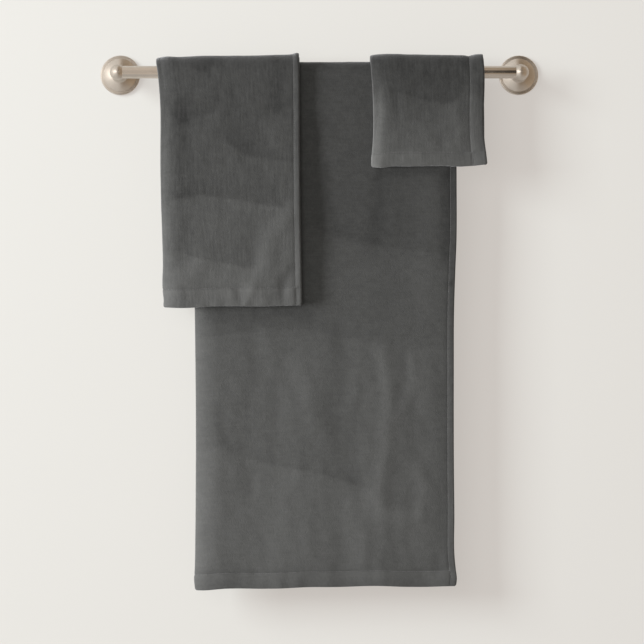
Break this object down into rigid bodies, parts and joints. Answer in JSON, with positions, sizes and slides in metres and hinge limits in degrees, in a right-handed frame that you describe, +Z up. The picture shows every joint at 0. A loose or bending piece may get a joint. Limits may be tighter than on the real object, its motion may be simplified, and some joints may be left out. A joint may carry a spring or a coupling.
{
  "type": "bath towel set",
  "caption": "Folded terry bath towel with a hand towel and a washcloth hung over it, on a round wall-mounted towel bar with ball-ended posts and stepped round rosettes.",
  "frame": {"origin": "centre of the wall-hole pattern, on the wall's surface, midway between the posts at the height of the bar's axis", "axes": "+Z up, +X along the bar to the right as seen from the room, +Y into the wall, so the set hangs on the -Y side"},
  "size_m": [0.6696, 0.0873, 0.808],
  "materials": {
    "satin_nickel": "satin",
    "bracket_steel": "satin",
    "terry_cloth": "matte",
    "terry_hem": "matte",
    "sewing_thread": "satin"
  },
  "bodies": {
    "wall_posts": {"left_wall_bracket": "bracket_steel", "left_rosette": "satin_nickel", "left_post": "satin_nickel", "left_post_screw": "bracket_steel", "left_set_screw": "bracket_steel", "right_wall_bracket": "bracket_steel", "right_rosette": "satin_nickel", "right_post": "satin_nickel", "right_post_screw": "bracket_steel", "right_set_screw": "bracket_steel"},
    "bar": {"bar_tube": "satin_nickel"},
    "bath_towel": {"bath_towel_terry": "terry_cloth", "bath_towel_front_hem": "terry_hem", "bath_towel_back_hem": "terry_hem", "bath_towel_side_hem": "terry_hem", "bath_towel_front_stitching": "sewing_thread", "bath_towel_back_stitching": "sewing_thread", "bath_towel_side_stitching": "sewing_thread"},
    "hand_towel": {"hand_towel_terry": "terry_cloth", "hand_towel_front_hem": "terry_hem", "hand_towel_back_hem": "terry_hem", "hand_towel_side_hem": "terry_hem", "hand_towel_front_stitching": "sewing_thread", "hand_towel_back_stitching": "sewing_thread", "hand_towel_side_stitching": "sewing_thread"},
    "washcloth": {"washcloth_terry": "terry_cloth", "washcloth_front_hem": "terry_hem", "washcloth_back_hem": "terry_hem", "washcloth_side_hem": "terry_hem", "washcloth_front_stitching": "sewing_thread", "washcloth_back_stitching": "sewing_thread", "washcloth_side_stitching": "sewing_thread"}
  },
  "joints": [
    {"name": "bar_turn", "type": "hinge", "parent": "wall_posts", "child": "bar", "pos_m": [0, -0.064, 0], "axis": [1, 0, 0], "continuous": true},
    {"name": "bath_towel_slide", "type": "slide", "parent": "wall_posts", "child": "bath_towel", "axis": [1, 0, 0], "range_m": [-0.1, 0.08]},
    {"name": "hand_towel_slide", "type": "slide", "parent": "wall_posts", "child": "hand_towel", "axis": [1, 0, 0], "range_m": [-0.045, 0.05]},
    {"name": "washcloth_slide", "type": "slide", "parent": "wall_posts", "child": "washcloth", "axis": [1, 0, 0], "range_m": [-0.05, 0.036]}
  ]
}
